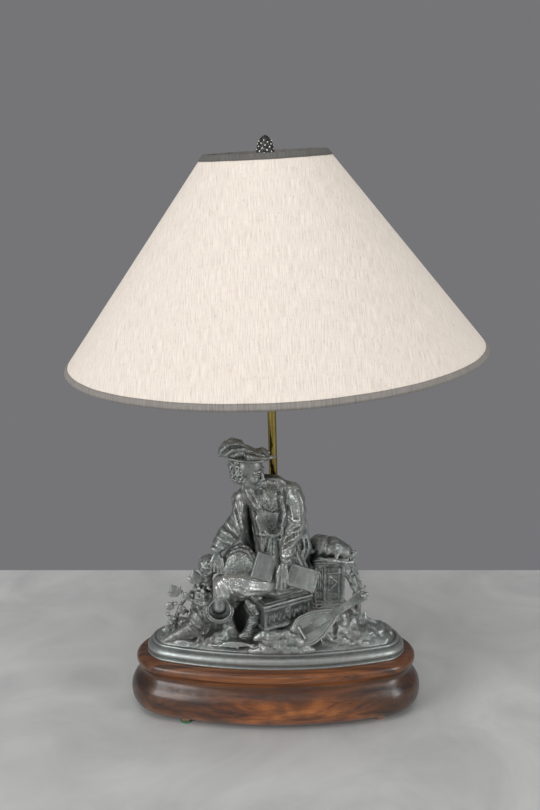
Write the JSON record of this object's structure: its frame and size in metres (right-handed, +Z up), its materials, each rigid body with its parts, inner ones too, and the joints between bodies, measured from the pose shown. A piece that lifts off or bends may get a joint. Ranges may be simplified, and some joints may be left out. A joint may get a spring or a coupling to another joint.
{
  "type": "table lamp",
  "caption": "Table lamp with a seated cast figure on an oval walnut plinth, a brass stem, a wide linen cone shade and a cone finial.",
  "frame": {"origin": "on the table, at the middle of the plinth and under the middle of the shade's rim", "axes": "+Z up, +X to the viewer's right with the seated figure facing, +Y to the back where the cord leaves"},
  "size_m": [0.4565, 0.4572, 0.6602],
  "materials": {
    "walnut": "polished",
    "foot_wood": "rough",
    "green_felt": "felt",
    "white_metal": "aged grey casting",
    "steel": "dull",
    "brass": "satin",
    "stem_brass": "aged",
    "fibre": "pressed fibre",
    "dark_resin": "glossy",
    "aluminium": "satin",
    "dark_glass": "glossy",
    "bulb_glass": "frosted",
    "finial_metal": "dark antique",
    "linen": "slubbed linen",
    "trim_tape": "woven tape",
    "wire": "dull zinc"
  },
  "bodies": {
    "lamp": {"cast_terrace": "white_metal", "seat_chest": "white_metal", "stone_pedestal": "white_metal", "figure_torso": "white_metal", "ivy_stump": "white_metal", "globe": "white_metal", "figure_leg_right": "white_metal", "figure_leg_left": "white_metal", "fur_robe": "white_metal", "figure_head": "white_metal", "figure_hat": "white_metal", "figure_arm_left": "white_metal", "figure_arm_right": "white_metal", "book_left_leaf": "white_metal", "book_right_leaf": "white_metal", "drapery": "white_metal", "lute": "white_metal", "thorn_bush": "white_metal", "wood_base": "walnut", "terrace_screws": "steel", "foot_front_left": "foot_wood", "foot_front_right": "foot_wood", "foot_rear_left": "foot_wood", "foot_rear_right": "foot_wood", "felt_pad": "green_felt", "cord_bushing": "brass", "stem_tube": "stem_brass", "base_nut": "steel", "base_washer": "steel", "seat_ring": "brass", "saddle_nut": "brass", "harp_saddle": "brass", "harp": "brass", "socket_cap": "brass", "socket_shell": "brass", "socket_liner": "fibre", "socket_body": "dark_resin", "screw_shell": "aluminium", "centre_contact": "brass", "terminal_screws": "brass"},
    "shade": {"shade_skin": "linen", "shade_top_trim": "trim_tape", "shade_rim_trim": "trim_tape", "shade_rim_wire": "wire", "spider": "wire"},
    "finial_bush": {"finial_insert": "brass"},
    "finial": {"finial_neck": "finial_metal", "finial_cone": "finial_metal"},
    "bulb_base": {"bulb_tip": "dark_glass"},
    "bulb": {"bulb_cap": "aluminium", "bulb_glass": "bulb_glass"},
    "knob": {"switch_knob": "dark_resin"},
    "ferrule_left": {"ferrule_left": "brass"},
    "ferrule_right": {"ferrule_right": "brass"}
  },
  "joints": [
    {"name": "shade_swivel", "type": "hinge", "parent": "lamp", "child": "shade", "pos_m": [-0.01151, 0, 0.63006], "axis": [-0.0555, 0, 0.9985], "continuous": true},
    {"name": "finial_lift", "type": "slide", "parent": "lamp", "child": "finial_bush", "axis": [-0.0243, 0, 0.9997], "range_m": [0, 0.00846]},
    {"name": "finial_turn", "type": "hinge", "parent": "finial_bush", "child": "finial", "pos_m": [-0.01154, 0, 0.63121], "axis": [-0.0243, 0, 0.9997], "range_deg": [0, 3240]},
    {"name": "bulb_lift", "type": "slide", "parent": "lamp", "child": "bulb_base", "axis": [-0.0243, 0, 0.9997], "range_m": [0, 0.0182]},
    {"name": "bulb_turn", "type": "hinge", "parent": "bulb_base", "child": "bulb", "pos_m": [-0.00835, 0, 0.49985], "axis": [-0.0243, 0, 0.9997], "range_deg": [0, 1800]},
    {"name": "knob_turn", "type": "hinge", "parent": "lamp", "child": "knob", "pos_m": [-0.0074, 0, 0.46056], "axis": [0, -1, 0], "continuous": true},
    {"name": "ferrule_left_slide", "type": "slide", "parent": "lamp", "child": "ferrule_left", "axis": [-0.0243, 0, 0.9997], "range_m": [0, 0.015]},
    {"name": "ferrule_right_slide", "type": "slide", "parent": "lamp", "child": "ferrule_right", "axis": [-0.0243, 0, 0.9997], "range_m": [0, 0.015]}
  ],
  "couplings": [
    {"joint": "finial_turn", "follows": "finial_lift", "rad_per_m": 6679.3},
    {"joint": "bulb_lift", "follows": "bulb_turn", "m_per_rad": 0.00057757}
  ]
}
